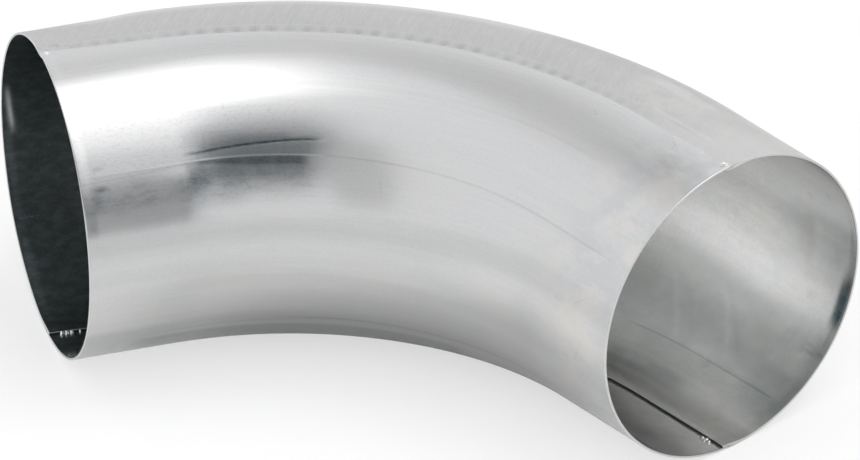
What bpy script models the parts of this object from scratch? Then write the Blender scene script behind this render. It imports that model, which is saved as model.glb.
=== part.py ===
"""Pipe elbow for a duct run, pressed from steel sheet in two half shells.

The heel half makes the outside of the bend and the throat half makes the inside. They meet in a
joggled lap along the top and the bottom of the tube: each edge of the heel half steps inward by one
sheet thickness and tucks under the plain edge of the throat half. A seam weld fills the groove over
each lap, and four tack welds hold the halves together near the two mouths.

Units are metres and radians. The bend lies flat: +Z is normal to its plane, +X runs along the chord
from the inlet to the outlet, and +Y points from the centre of the bend to its heel. A place on the
tube is a distance along the centreline from the inlet's rim, and an angle around the tube from the
heel (0) over the top (pi / 2) to the throat (pi).
"""
import math

import bmesh
import bpy
from mathutils import Vector

# Driving dimensions
OUTSIDE_DIAMETER = 0.125
SHEET = 0.0009
BEND_RADIUS = 0.1844
BEND_ANGLE = math.radians(65)
INLET_COLLAR = 0.0392
OUTLET_COLLAR = 0.0474
CLEARANCE = 0.0003

# The lap: arc lengths across the seam, measured from the throat half's edge towards the heel
LAP = 0.0031
JOGGLE_FOOT = 0.0008
JOGGLE_SHOULDER = 0.0046
WELD_TOE = 0.0032

# Where the throat half's edges run: degrees from the heel at the inlet, in mid bend and at the outlet
TOP_SEAM_ANGLES = (86.6, 92.3, 88.5)
BOTTOM_SEAM_ANGLES = (88.2, 92.5, 92.8)

# Weld metal
WELD_CROWN = 0.0001
WELD_TO_RIM = 0.0005
TACK_ROOT = 0.00015
TACK_HEIGHT = 0.0006
TACK_WIDTH = 0.0028
TACK_LENGTH = 0.0036
OUTER_TACK_ARC = -0.0007
INNER_TACK_ARC = -0.0048
OUTER_TACK_TO_RIM = 0.0006
INLET_INNER_TACK_TO_RIM = 0.0046
OUTLET_INNER_TACK_TO_RIM = 0.0065

# Resolution
BEND_STEPS = 26
COLLAR_STEPS = 4
HALF_STEPS = 24
TACK_STEPS = 6

# Sizes that follow from the driving dimensions
RADIUS = OUTSIDE_DIAMETER / 2
BORE_RADIUS = RADIUS - SHEET
JOGGLE_DEPTH = SHEET + CLEARANCE
BEND_LENGTH = BEND_RADIUS * BEND_ANGLE
TOTAL_LENGTH = INLET_COLLAR + BEND_LENGTH + OUTLET_COLLAR

# Steel finishes: colour, roughness
BRIGHT_STEEL = ((0.66, 0.67, 0.68), 0.28)
BRUSHED_STEEL = ((0.58, 0.57, 0.56), 0.42)
WELD_STEEL = ((0.62, 0.62, 0.63), 0.36)


def clear_scene():
    for item in list(bpy.data.objects):
        bpy.data.objects.remove(item, do_unlink=True)


def steel(name, finish):
    colour, roughness = finish
    material = bpy.data.materials.new(name)
    material.use_nodes = True
    shader = material.node_tree.nodes["Principled BSDF"]
    shader.inputs["Base Color"].default_value = (*colour, 1.0)
    shader.inputs["Metallic"].default_value = 1.0
    shader.inputs["Roughness"].default_value = roughness
    return material


def centreline(distance):
    """The tube's centre and the direction of its heel, at a distance from the inlet's rim."""
    along = distance - INLET_COLLAR
    turn = min(max(along, 0.0), BEND_LENGTH) / BEND_RADIUS - BEND_ANGLE / 2
    heel = Vector((math.sin(turn), math.cos(turn), 0.0))
    run = Vector((math.cos(turn), -math.sin(turn), 0.0))
    straight = min(along, 0.0) + max(along - BEND_LENGTH, 0.0)
    return BEND_RADIUS * heel + straight * run, heel


def on_tube(distance, angle, radius):
    centre, heel = centreline(distance)
    return centre + radius * (math.cos(angle) * heel + math.sin(angle) * Vector((0.0, 0.0, 1.0)))


def seam_angle(angles, distance):
    """Angle from the heel to a seam, which drifts away from its mid-bend angle towards both mouths."""
    inlet, middle, outlet = angles
    off_middle = 2 * distance / TOTAL_LENGTH - 1
    mouth = inlet if off_middle < 0 else outlet
    return math.radians(middle + (mouth - middle) * abs(off_middle) ** 3)


def top_seam(distance):
    return seam_angle(TOP_SEAM_ANGLES, distance)


def bottom_seam(distance):
    """Below the heel, but counted as a positive angle."""
    return seam_angle(BOTTOM_SEAM_ANGLES, distance)


def joggle_depth(arc):
    """How far the heel half has stepped inward, at an arc length from the throat half's edge."""
    part = (JOGGLE_SHOULDER - arc) / (JOGGLE_SHOULDER - JOGGLE_FOOT)
    return JOGGLE_DEPTH * min(max(part, 0.0), 1.0)


def even_steps(start, end, count):
    return [start + (end - start) * i / count for i in range(count + 1)]


def run_between(start, end):
    """Distances from start to end: even steps in each collar and in the bend between them."""
    bend_end = INLET_COLLAR + BEND_LENGTH
    inlet = even_steps(start, INLET_COLLAR, COLLAR_STEPS)
    bend = even_steps(INLET_COLLAR, bend_end, BEND_STEPS)
    outlet = even_steps(bend_end, end, COLLAR_STEPS)
    return inlet + bend[1:] + outlet[1:]


def throat_section(distance):
    """Angle, outer radius and inner radius of each column of the plain half."""
    start = top_seam(distance)
    end = 2 * math.pi - bottom_seam(distance)
    return [(angle, RADIUS, BORE_RADIUS) for angle in even_steps(start, end, HALF_STEPS)]


def heel_section(distance):
    """The joggled half: both tongues, both joggles and the plain arc between them."""
    upper = top_seam(distance)
    lower = bottom_seam(distance)
    tongue = [-LAP, JOGGLE_FOOT]
    shoulder = JOGGLE_SHOULDER / RADIUS
    section = []
    for arc in tongue:
        section.append((-lower + arc / RADIUS, joggle_depth(arc)))
    for angle in even_steps(-lower + shoulder, upper - shoulder, HALF_STEPS):
        section.append((angle, 0.0))
    for arc in reversed(tongue):
        section.append((upper - arc / RADIUS, joggle_depth(arc)))
    return [(angle, RADIUS - depth, BORE_RADIUS - depth) for angle, depth in section]


def weld_section(edge_angle, side):
    """Weld metal in the groove over a lap. side is 1 at the top seam and -1 at the bottom one."""
    slope_gap = 1.1 * CLEARANCE
    section = []
    for arc in (CLEARANCE, JOGGLE_FOOT, (JOGGLE_FOOT + WELD_TOE) / 2, WELD_TOE):
        root = RADIUS - joggle_depth(arc) + slope_gap
        section.append((side * (edge_angle - arc / RADIUS), RADIUS + WELD_CROWN, root))
    return section


def dome(value, start, end):
    """1 in the middle of a stretch, falling to 0 at its ends."""
    across = 2 * (value - start) / (end - start) - 1
    return math.sqrt(max(1 - across * across, 0.0))


def tack_section(edge_angle, side, middle_arc, seat, outward, lengthwise):
    """A domed nugget on the tube's wall. outward is 1 on the outside and -1 on the inside."""
    first = middle_arc - TACK_WIDTH / 2
    last = middle_arc + TACK_WIDTH / 2
    section = []
    for arc in even_steps(first, last, TACK_STEPS):
        top = seat + outward * (TACK_ROOT + TACK_HEIGHT * lengthwise * dome(arc, first, last))
        section.append((side * (edge_angle - arc / RADIUS), max(top, seat), min(top, seat)))
    return section


def sweep(name, section_at, distances, material, parent):
    """Skins a section along the tube into one closed body.

    Each section is a row of columns, and each column has an outer and an inner point.
    """
    shape = bmesh.new()
    rows = []
    for distance in distances:
        row = []
        for angle, outer, inner in section_at(distance):
            outside = shape.verts.new(on_tube(distance, angle, outer))
            inside = shape.verts.new(on_tube(distance, angle, inner))
            row.append((outside, inside))
        rows.append(row)
    for row, ahead in zip(rows, rows[1:]):
        for here, beside, over, across in zip(row, row[1:], ahead, ahead[1:]):
            shape.faces.new((here[0], over[0], across[0], beside[0]))
            shape.faces.new((here[1], beside[1], across[1], over[1]))
        shape.faces.new((row[0][0], row[0][1], ahead[0][1], ahead[0][0]))
        shape.faces.new((row[-1][1], row[-1][0], ahead[-1][0], ahead[-1][1]))
    for here, beside in zip(rows[0], rows[0][1:]):
        shape.faces.new((here[0], beside[0], beside[1], here[1]))
    for here, beside in zip(rows[-1], rows[-1][1:]):
        shape.faces.new((here[1], beside[1], beside[0], here[0]))
    bmesh.ops.recalc_face_normals(shape, faces=shape.faces)
    mesh = bpy.data.meshes.new(name)
    shape.to_mesh(mesh)
    shape.free()
    mesh.shade_smooth()
    mesh.set_sharp_from_angle(angle=math.radians(30))
    mesh.materials.append(material)
    body = bpy.data.objects.new(name, mesh)
    body.parent = parent
    bpy.context.collection.objects.link(body)
    return body


def half_shells(parent):
    distances = run_between(0.0, TOTAL_LENGTH)
    heel_steel = steel("heel_steel", BRUSHED_STEEL)
    throat_steel = steel("throat_steel", BRIGHT_STEEL)
    return [
        sweep("outer_half_shell", heel_section, distances, heel_steel, parent),
        sweep("inner_half_shell", throat_section, distances, throat_steel, parent),
    ]


def seam_welds(material, parent):
    """One bead along each lap, from mouth to mouth."""
    distances = run_between(WELD_TO_RIM, TOTAL_LENGTH - WELD_TO_RIM)

    def top(distance):
        return weld_section(top_seam(distance), 1)

    def bottom(distance):
        return weld_section(bottom_seam(distance), -1)

    return [
        sweep("top_seam_weld", top, distances, material, parent),
        sweep("bottom_seam_weld", bottom, distances, material, parent),
    ]


def outer_tack(name, start, material, parent):
    """Straddles the throat half's upper edge, on the outside of the tube."""
    seat = RADIUS + WELD_CROWN + CLEARANCE
    end = start + TACK_LENGTH

    def section_at(distance):
        lengthwise = dome(distance, start, end)
        return tack_section(top_seam(distance), 1, OUTER_TACK_ARC, seat, 1, lengthwise)

    return sweep(name, section_at, even_steps(start, end, TACK_STEPS), material, parent)


def inner_tack(name, start, material, parent):
    """Sits against the cut edge of the heel half's lower tongue, on the inside of the tube."""
    seat = BORE_RADIUS - CLEARANCE
    end = start + TACK_LENGTH

    def section_at(distance):
        lengthwise = dome(distance, start, end)
        return tack_section(bottom_seam(distance), -1, INNER_TACK_ARC, seat, -1, lengthwise)

    return sweep(name, section_at, even_steps(start, end, TACK_STEPS), material, parent)


def tack_welds(material, parent):
    far_end = TOTAL_LENGTH - TACK_LENGTH
    inlet_inner = INLET_INNER_TACK_TO_RIM
    outlet_inner = far_end - OUTLET_INNER_TACK_TO_RIM
    return [
        outer_tack("tack_weld_top_inlet", OUTER_TACK_TO_RIM, material, parent),
        outer_tack("tack_weld_top_outlet", far_end - OUTER_TACK_TO_RIM, material, parent),
        inner_tack("tack_weld_bottom_inlet", inlet_inner, material, parent),
        inner_tack("tack_weld_bottom_outlet", outlet_inner, material, parent),
    ]


def stand_on_origin(bodies, parent):
    """Moves the parent so that the middle of the object's underside is the world's origin."""
    points = [vertex.co for body in bodies for vertex in body.data.vertices]
    low = [min(point[axis] for point in points) for axis in range(3)]
    high = [max(point[axis] for point in points) for axis in range(3)]
    parent.location = (-(low[0] + high[0]) / 2, -(low[1] + high[1]) / 2, -low[2])


def build():
    clear_scene()
    frame = bpy.data.objects.new("bend_frame", None)
    bpy.context.collection.objects.link(frame)
    weld_steel = steel("weld_steel", WELD_STEEL)
    bodies = half_shells(frame) + seam_welds(weld_steel, frame) + tack_welds(weld_steel, frame)
    stand_on_origin(bodies, frame)


build()
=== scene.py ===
"""The finished look of a pressed steel pipe elbow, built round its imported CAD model.

Metres, +Z up. A place on the tube is a distance along its centreline from the inlet's rim and an
angle around it: 0 at the heel of the bend, 90 degrees at the top, 180 at the throat. An arc is the
length across a seam, from the throat half's edge towards the heel.
"""
import math

import bpy
import numpy as np
from mathutils import Matrix, Vector


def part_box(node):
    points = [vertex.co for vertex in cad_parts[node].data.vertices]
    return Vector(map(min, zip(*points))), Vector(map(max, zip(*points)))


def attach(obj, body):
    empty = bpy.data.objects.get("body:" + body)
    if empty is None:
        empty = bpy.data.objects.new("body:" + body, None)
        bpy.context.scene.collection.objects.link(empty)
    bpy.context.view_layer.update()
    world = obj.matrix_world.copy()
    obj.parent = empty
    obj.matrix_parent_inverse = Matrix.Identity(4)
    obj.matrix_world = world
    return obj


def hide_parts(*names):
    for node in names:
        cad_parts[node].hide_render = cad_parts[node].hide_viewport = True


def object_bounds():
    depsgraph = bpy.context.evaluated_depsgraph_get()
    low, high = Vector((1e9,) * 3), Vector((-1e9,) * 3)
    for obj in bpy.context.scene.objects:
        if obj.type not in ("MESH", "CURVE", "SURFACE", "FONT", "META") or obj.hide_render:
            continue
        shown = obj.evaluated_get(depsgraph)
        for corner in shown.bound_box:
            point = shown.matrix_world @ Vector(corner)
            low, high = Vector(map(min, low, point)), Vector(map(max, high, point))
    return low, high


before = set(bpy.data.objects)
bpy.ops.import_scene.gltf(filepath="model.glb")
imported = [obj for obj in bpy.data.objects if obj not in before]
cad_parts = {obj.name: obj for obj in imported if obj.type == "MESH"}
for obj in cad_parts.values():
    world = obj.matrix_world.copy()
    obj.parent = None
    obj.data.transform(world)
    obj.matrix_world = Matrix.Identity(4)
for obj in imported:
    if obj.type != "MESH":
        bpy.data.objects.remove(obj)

MM = 0.001
CAD_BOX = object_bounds()
SHELL_LOW, SHELL_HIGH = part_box("outer_half_shell")

# The tube, as the CAD model has it
RADIUS = 62.5 * MM
SHEET = 0.9 * MM
BORE = RADIUS - SHEET
BEND_RADIUS = 184.4 * MM
BEND_ANGLE = math.radians(65)
INLET_COLLAR = 39.2 * MM
OUTLET_COLLAR = 47.4 * MM
BEND_LENGTH = BEND_RADIUS * BEND_ANGLE
LENGTH = INLET_COLLAR + BEND_LENGTH + OUTLET_COLLAR

# The laps between the half shells
LAP = 3.1 * MM
LAP_GAP = 0.12 * MM
JOGGLE_FOOT = 0.6 * MM
JOGGLE_SHOULDER = 4.6 * MM
INNER_JOGGLE_FOOT = -1.5 * MM
INNER_JOGGLE_SHOULDER = 12.0 * MM
TOP_SEAM_ANGLES = (86.6, 92.3, 88.5)
BOTTOM_SEAM_ANGLES = (88.2, 92.5, 92.8)

# The camera, which sees without perspective: its view is VIEW_WIDTH metres across
CAMERA_AZIMUTH = math.radians(17.635)
CAMERA_ELEVATION = math.radians(32.972)
CAMERA_ROLL = math.radians(-1.269)
CAMERA_DISTANCE = 6.0
VIEW_WIDTH = 0.32328
AIM_FROM_MIDDLE = Vector((3.01, 12.82, -17.36)) * MM

# ---------------------------------------------------------------- the swept tube

def bend_centre():
    """The centre of the bend in the row frame, from the CAD model's box."""
    inlet_heel_x = -(BEND_RADIUS + RADIUS) * math.sin(BEND_ANGLE / 2)
    inlet_heel_x -= INLET_COLLAR * math.cos(BEND_ANGLE / 2)
    x = SHELL_LOW.x - inlet_heel_x
    y = SHELL_HIGH.y - BEND_RADIUS - RADIUS
    z = (SHELL_LOW.z + SHELL_HIGH.z) / 2
    return np.array([x, y, z])


CENTRE = bend_centre()
UP = np.array([0.0, 0.0, 1.0])


def centreline(distance):
    """Centres, heel directions and run directions of the tube, one row for each distance."""
    along = np.asarray(distance, float) - INLET_COLLAR
    turn = np.clip(along, 0, BEND_LENGTH) / BEND_RADIUS - BEND_ANGLE / 2
    zero = np.zeros_like(turn)
    heel = np.stack([np.sin(turn), np.cos(turn), zero], -1)
    run = np.stack([np.cos(turn), -np.sin(turn), zero], -1)
    straight = np.minimum(along, 0) + np.maximum(along - BEND_LENGTH, 0)
    return CENTRE + BEND_RADIUS * heel + straight[..., None] * run, heel, run


def on_tube(distance, angle, radius):
    """Points of the tube, for arrays of one shape."""
    centre, heel, _ = centreline(distance)
    around = np.cos(angle)[..., None] * heel + np.sin(angle)[..., None] * UP
    return centre + np.asarray(radius)[..., None] * around


def seam_angle(angles, distance):
    """Angle from the heel to a seam, which drifts from its mid-bend angle towards both mouths."""
    inlet, middle, outlet = angles
    off_middle = 2 * np.asarray(distance) / LENGTH - 1
    mouth = np.where(off_middle < 0, inlet, outlet)
    return np.radians(middle + (mouth - middle) * np.abs(off_middle) ** 3)


# ---------------------------------------------------------------- small shape functions

def smooth(value, start, end):
    """0 before start, 1 after end, and a smooth step between them."""
    part = np.clip((value - start) / (end - start), 0, 1)
    return part * part * (3 - 2 * part)


def window(value, start, end, soft):
    """1 between start and end, fading to 0 over a length of soft on both sides."""
    return smooth(value, start - soft, start) * (1 - smooth(value, end, end + soft))


def bump(value, middle, width):
    return np.exp(-(((value - middle) / width) ** 2))


def wave(turns):
    """A wave from 0 to 1 and back in every turn."""
    return 0.5 - 0.5 * np.cos(2 * math.pi * turns)


NOISE_CELLS = 256
NOISE_SHIFT = (101.3, 57.7)


def soft_noise(u, v, cell_u, cell_v, seed):
    """Smooth noise from -1 to 1 over two lengths, with cells of the given size."""
    table = np.random.default_rng(seed).uniform(-1, 1, (NOISE_CELLS, NOISE_CELLS))
    x = u / cell_u + NOISE_SHIFT[0]
    y = v / cell_v + NOISE_SHIFT[1]
    column = np.floor(x).astype(int)
    row = np.floor(y).astype(int)
    part_x = smooth(x - column, 0, 1)
    part_y = smooth(y - row, 0, 1)

    def mixed(row):
        first = table[column % NOISE_CELLS, row % NOISE_CELLS]
        last = table[(column + 1) % NOISE_CELLS, row % NOISE_CELLS]
        return first * (1 - part_x) + last * part_x

    return mixed(row) * (1 - part_y) + mixed(row + 1) * part_y


def streak(distance, angle, ends, width, soft_share):
    """1 along a straight line over the tube, fading out to both sides and at its ends."""
    share = distance / LENGTH
    start, first, end, last = ends
    part = np.clip((share - start) / (end - start), 0, 1)
    across = (angle - np.radians(first + (last - first) * part)) * RADIUS
    return bump(across, 0, width) * window(share, start, end, soft_share)


def blot(distance, angle, share, degrees, long, wide):
    """1 in the middle of a soft oval blot. long and wide are its half sizes in metres."""
    along = (distance - share * LENGTH) / long
    across = (angle - math.radians(degrees)) * RADIUS / wide
    return np.exp(-along ** 2 - across ** 2)


def total_marks(distance, angle, streaks=(), patches=(), blots=(), cloud=1.0):
    """The sum of the marks in some tables. cloud is noise from 0 to 1 for the cloudy ones."""
    share = distance / LENGTH
    degrees = np.degrees(angle)
    total = np.zeros(share.shape)
    for lift, ends, width, soft_end in streaks:
        total += lift * streak(distance, angle, ends, width * MM, soft_end)
    for lift, cloudy, around, along in patches:
        patch = window(degrees, *around) * window(share, *along)
        total += lift * (1 - cloudy + cloudy * cloud) * patch
    for lift, cloudy, middle, turn, long, wide in blots:
        spot = blot(distance, angle, middle, turn, long * MM, wide * MM)
        total += lift * (1 - cloudy + cloudy * cloud) * spot
    return total


# ---------------------------------------------------------------- relief of the pressed sheet

# Drawing creases: height in mm (below zero for a groove), both ends as (share of the length,
# degrees, share, degrees), half width in mm, and the share of the length over which they fade
THROAT_CREASES = (
    (0.024, (0.03, 142.6, 0.92, 142.6), 0.55, 0.02),
    (-0.050, (0.17, 140.0, 0.375, 137.0), 0.60, 0.02),
    (0.016, (0.30, 116.5, 0.86, 116.5), 0.60, 0.02),
    (-0.014, (0.18, 98.9, 0.66, 99.2), 0.70, 0.02),
    (-0.040, (0.05, 213.0, 0.84, 210.5), 0.90, 0.02),
    (-0.018, (0.12, 218.0, 0.55, 215.5), 1.40, 0.02),
)
HEEL_CREASES = (
    (0.025, (0.72, -66.5, 0.97, -66.0), 0.50, 0.02),
    (0.020, (0.78, 62.0, 0.86, 66.0), 1.20, 0.02),
)

# The rims' flares and the outlet's oval, which fades out over a length behind its rim
INLET_FLARE = 0.12 * MM
OUTLET_FLARE = 0.08 * MM
OVAL = 0.30 * MM
OVAL_ANGLE = math.radians(20)
OVAL_LENGTH = 60 * MM

# Unevenness of the sheet: broad waves, smaller dents, and the chatter of the press in the throat
WAVES = 0.05 * MM
THROAT_DENTS = 0.012 * MM
HEEL_DENTS = 0.010 * MM
CHATTER = 0.008 * MM
CHATTER_PITCH = 5.2 * MM

# The heel is pressed out from the end of the inlet collar on
HEEL_STEP = 0.40 * MM
HEEL_SINK = 0.25 * MM


def mouth_relief(distance, angle):
    """The rims: a slight flare, and the outlet pressed a little out of round."""
    inlet = INLET_FLARE * (1 - smooth(distance, 0.6 * MM, 5.0 * MM))
    from_outlet = LENGTH - distance
    outlet = OUTLET_FLARE * (1 - smooth(from_outlet, 0.5 * MM, 4.0 * MM))
    oval = OVAL * np.cos(2 * (angle - OVAL_ANGLE)) * (1 - smooth(from_outlet, 0, OVAL_LENGTH))
    return inlet + outlet + oval


def throat_relief(distance, angle):
    """How far the throat half's sheet stands off the plain tube."""
    arc = angle * RADIUS
    share = distance / LENGTH
    relief = MM * total_marks(distance, angle, THROAT_CREASES) + mouth_relief(distance, angle)
    relief += WAVES * soft_noise(distance, arc, 55 * MM, 12 * MM, 3)
    relief += THROAT_DENTS * soft_noise(distance, arc, 24 * MM, 5 * MM, 4)
    wander = 2 * soft_noise(distance, arc, 9 * MM, 9 * MM, 5)
    chatter = np.sin(distance / CHATTER_PITCH * 2 * math.pi + wander)
    flats = window(np.degrees(angle), 180, 194, 5)
    return relief + CHATTER * chatter * flats * window(share, 0.48, 0.72, 0.05)


def heel_sheet_relief(distance, angle):
    """How far the heel half's sheet stands off the plain tube, away from its laps."""
    arc = angle * RADIUS
    relief = MM * total_marks(distance, angle, HEEL_CREASES) + mouth_relief(distance, angle)
    relief += WAVES * soft_noise(distance, arc, 40 * MM, 22 * MM, 13)
    relief += HEEL_DENTS * soft_noise(distance, arc, 14 * MM, 9 * MM, 14)
    pressed = HEEL_STEP * smooth(distance, INLET_COLLAR - 9 * MM, INLET_COLLAR + 5 * MM) - HEEL_SINK
    outlet = 1 - smooth(distance, 0.6 * LENGTH, 0.9 * LENGTH)
    near_heel = window(np.degrees(angle), -75, 75, 14)
    return relief + pressed * near_heel * outlet


def arcs_from_seams(distance, angle):
    """The lengths across the sheet from the throat half's top edge and from its bottom edge."""
    upper = (seam_angle(TOP_SEAM_ANGLES, distance) - angle) * RADIUS
    lower = (angle + seam_angle(BOTTOM_SEAM_ANGLES, distance)) * RADIUS
    return upper, lower


def heel_relief(distance, angle):
    """How far the heel half's sheet stands off the plain tube, before its joggles.

    Along the laps it follows the throat half, so that the gap in the lap stays even.
    """
    free = smooth(np.minimum(*arcs_from_seams(distance, angle)), 1 * MM, 14 * MM)
    lapped = throat_relief(distance, angle % (2 * math.pi))
    return lapped * (1 - free) + heel_sheet_relief(distance, angle) * free


def joggle(arc, foot=JOGGLE_FOOT, shoulder=JOGGLE_SHOULDER):
    """How far the heel half's edge is pressed in. The press rounds the inside more gently."""
    return (SHEET + LAP_GAP) * (1 - smooth(arc, foot, shoulder))


# ---------------------------------------------------------------- meshes

# Fine rows behind both rims
RIM_ROW = 0.2 * MM
RIM_ROWS_LENGTH = 5 * MM


def rows_along(step):
    """Distances along the tube in even steps, with fine ones behind both rims."""
    even = np.linspace(0, LENGTH, int(round(LENGTH / step)) + 1)
    fine = np.arange(0, RIM_ROWS_LENGTH, RIM_ROW)
    return np.unique(np.round(np.concatenate([even, fine, LENGTH - fine]), 6))


# Shares of a sheet's width where its long edges get extra columns
EDGE_SHARES = np.array([0.0, 0.0016, 0.0032, 0.0060, 0.9940, 0.9968, 0.9984, 1.0])


def columns_across(start, end, step, places, reach, fine):
    """Shares of the way between two angles: even, with fine ones at the edges and some places."""
    found = [np.linspace(0, 1, int(round((end - start) / step)) + 1), EDGE_SHARES]
    for place in places:
        near = np.arange(place - reach, place + reach, fine)
        found.append((near[(near > start) & (near < end)] - start) / (end - start))
    return np.unique(np.round(np.concatenate(found), 5))


def closed_body(outside, inside, flip=False):
    """Points and outward faces of two grids of points, joined round their four sides.

    The faces are the outside's, then the inside's, then the sides'. flip is for a grid whose
    columns run against the angle round the tube.
    """
    rows, columns = outside.shape[:2]
    index = np.arange(rows * columns).reshape(rows, columns)
    skin = np.stack([index[:-1, :-1].ravel(), index[:-1, 1:].ravel(),
                     index[1:, 1:].ravel(), index[1:, :-1].ravel()], 1)
    border = np.concatenate([index[0, :-1], index[:-1, -1], index[-1, :0:-1], index[:0:-1, 0]])
    after = np.roll(border, -1)
    offset = rows * columns
    sides = np.stack([border, border + offset, after + offset, after], 1)
    faces = np.concatenate([skin, skin[:, ::-1] + offset, sides])
    points = np.concatenate([outside.reshape(-1, 3), inside.reshape(-1, 3)])
    return points, faces[:, ::-1] if flip else faces


def add_object(name, data):
    made = bpy.data.objects.new(name, data)
    bpy.context.scene.collection.objects.link(made)
    return made


def mesh_object(name, points, faces, slots, uv, materials):
    """A mesh from arrays. uv holds (distance, arc) in metres for each point."""
    mesh = bpy.data.meshes.new(name)
    mesh.from_pydata(points.tolist(), [], faces.tolist())
    mesh.polygons.foreach_set("material_index", slots.astype(np.int32))
    layer = mesh.uv_layers.new(name="tube")
    corners = np.empty(len(mesh.loops), np.int32)
    mesh.loops.foreach_get("vertex_index", corners)
    layer.data.foreach_set("uv", uv[corners].astype(np.float32).ravel())
    for material in materials:
        mesh.materials.append(material)
    mesh.shade_smooth()
    mesh.set_sharp_from_angle(angle=math.radians(38))
    mesh.update()
    return add_object(name, mesh)


def add_values(piece, name, values):
    layer = piece.data.attributes.new(name, "FLOAT", "POINT")
    layer.data.foreach_set("value", values.astype(np.float32).ravel())


# How far the sheet's corners are rounded off at the rims and along the long edges
RIM_ROUNDING = 0.10 * MM
OUTER_EDGE_ROUNDING = 0.05 * MM
INNER_EDGE_ROUNDING = 0.16 * MM

# The inside's map lies this far from the outside's, in metres
INSIDE_MAP = np.array([0.0, 0.5])


def sheet_object(name, distances, shares, shape, materials):
    """A closed sheet with an outer and an inner skin.

    shape gives, for the whole grid, the angles, the outer and the inner radii, and how much darker
    (below zero) or lighter the outer and the inner skin are, mostly as painted shade and
    highlights.
    Material 0 is the outside, 1 the inside, 2 the cut rims and 3 the long edges.
    """
    distance = np.repeat(distances[:, None], len(shares), 1)
    angle, outer, inner, outer_tone, inner_tone = shape(distance, shares[None, :])
    rows, columns = distance.shape
    rim = np.zeros((rows, columns))
    rim[0, :] = rim[-1, :] = RIM_ROUNDING
    long_edge = np.zeros((rows, columns))
    long_edge[:, 0] = long_edge[:, -1] = 1
    outer = outer - rim - OUTER_EDGE_ROUNDING * long_edge
    inner = inner + rim + INNER_EDGE_ROUNDING * long_edge
    points, faces = closed_body(on_tube(distance, angle, outer), on_tube(distance, angle, inner))
    on_rim = np.zeros((rows - 1, columns - 1), bool)
    on_rim[0, :] = on_rim[-1, :] = True
    on_edge = np.zeros((rows - 1, columns - 1), bool)
    on_edge[:, 0] = on_edge[:, -1] = True
    inner_slots = np.where((on_rim | on_edge).ravel(), 2, 1)
    side_slots = np.repeat([2, 3, 2, 3], [columns - 1, rows - 1, columns - 1, rows - 1])
    slots = np.concatenate([np.where(on_rim.ravel(), 2, 0), inner_slots, side_slots])
    uv = np.stack([distance, angle * RADIUS], -1).reshape(-1, 2)
    uv = np.concatenate([uv, uv + INSIDE_MAP])
    piece = mesh_object(name, points, faces, slots, uv, materials)
    add_values(piece, "tone", np.concatenate([outer_tone.ravel(), inner_tone.ravel()]))
    return piece


def stand_for(piece, node):
    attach(piece, "root")
    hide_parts(node)
    return piece


# ---------------------------------------------------------------- painted light, shade and marks on the sheet

FROM_INLET = -1
TO_OUTLET = 2

# Most marks here are painted light: painted shade and highlights by the creases and laps, and
# painted reflections. Lift is how much lighter a mark is, or darker below zero, and cloudy is how
# much of it comes and goes. Places are shares of the length and degrees from the heel.
# Streaks: lift, both ends as (share, degrees, share, degrees), half width in mm, soft end
# Painted shade in the creases' grooves and painted highlights on their ridges
THROAT_CREASE_SHADING = (
    (-0.68, (0.165, 140.0, 0.360, 137.1), 0.58, 0.03),
    (-0.26, (0.185, 138.4, 0.310, 136.2), 1.60, 0.03),
    (+0.62, (0.185, 142.5, 0.370, 142.5), 0.30, 0.03),
    (+0.26, (0.100, 142.7, 0.185, 142.5), 0.26, 0.03),
    (-0.14, (0.400, 142.6, 0.930, 143.4), 0.40, 0.06),
    (-0.12, (0.020, 144.6, 0.160, 143.2), 0.40, 0.03),
    (-0.16, (0.360, 211.0, 0.800, 211.6), 0.80, 0.08),
    (-0.08, (0.120, 213.2, 0.360, 212.2), 0.90, 0.05),
    (-0.04, (0.340, 116.5, 0.800, 116.4), 0.70, 0.08),
)
# A painted highlight line below the top lap, near the outlet
HEEL_STREAKS = (
    (+0.14, (0.84, 84.6, 0.93, 83.2), 0.90, 0.02),
)
# Painted shade in the lower crease's groove, and two dark lines by the outlet rim
HEEL_INNER_STREAKS = (
    (-0.27, (0.740, -66.8, 0.960, -66.0), 0.32, 0.020),
    (-0.34, (0.964, -45.4, 0.992, -44.2), 0.70, 0.012),
    (-0.26, (0.968, -42.6, 0.990, -43.4), 0.50, 0.012),
)

# Patches: lift, cloudy, then start, end and softness in degrees and as shares
# Painted reflections: darker where the underside and the inlet side mirror shade, lighter on the
# lower front
THROAT_PATCHES = (
    (-0.17, 0, (149, 156, 6), (0.155, 0.22, 0.05)),
    (-0.22, 0, (218, 230, 2.5), (0.10, 0.60, 0.05)),
    (-0.16, 0, (210, 232, 5), (FROM_INLET, 0.08, 0.08)),
    (-0.06, 0, (150, 160, 5), (FROM_INLET, 0.10, 0.06)),
    (-0.06, 0, (169, 181, 5), (FROM_INLET, 0.60, 0.15)),
    (+0.24, 0, (194, 203, 7), (0.17, 0.86, 0.08)),
)
# A painted highlight inside the throat half's bottom, by the outlet
THROAT_INNER_PATCHES = (
    (+0.28, 0, (236, 262, 4), (0.82, TO_OUTLET, 0.08)),
)
# Painted highlights: a lighter band on the heel half's upper side, and one along its upper crease
HEEL_PATCHES = (
    (+0.36, 0, (40, 62, 10), (0.12, 0.55, 0.10)),
    (+0.16, 0, (62, 68, 2.5), (0.78, 0.85, 0.02)),
)
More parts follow.
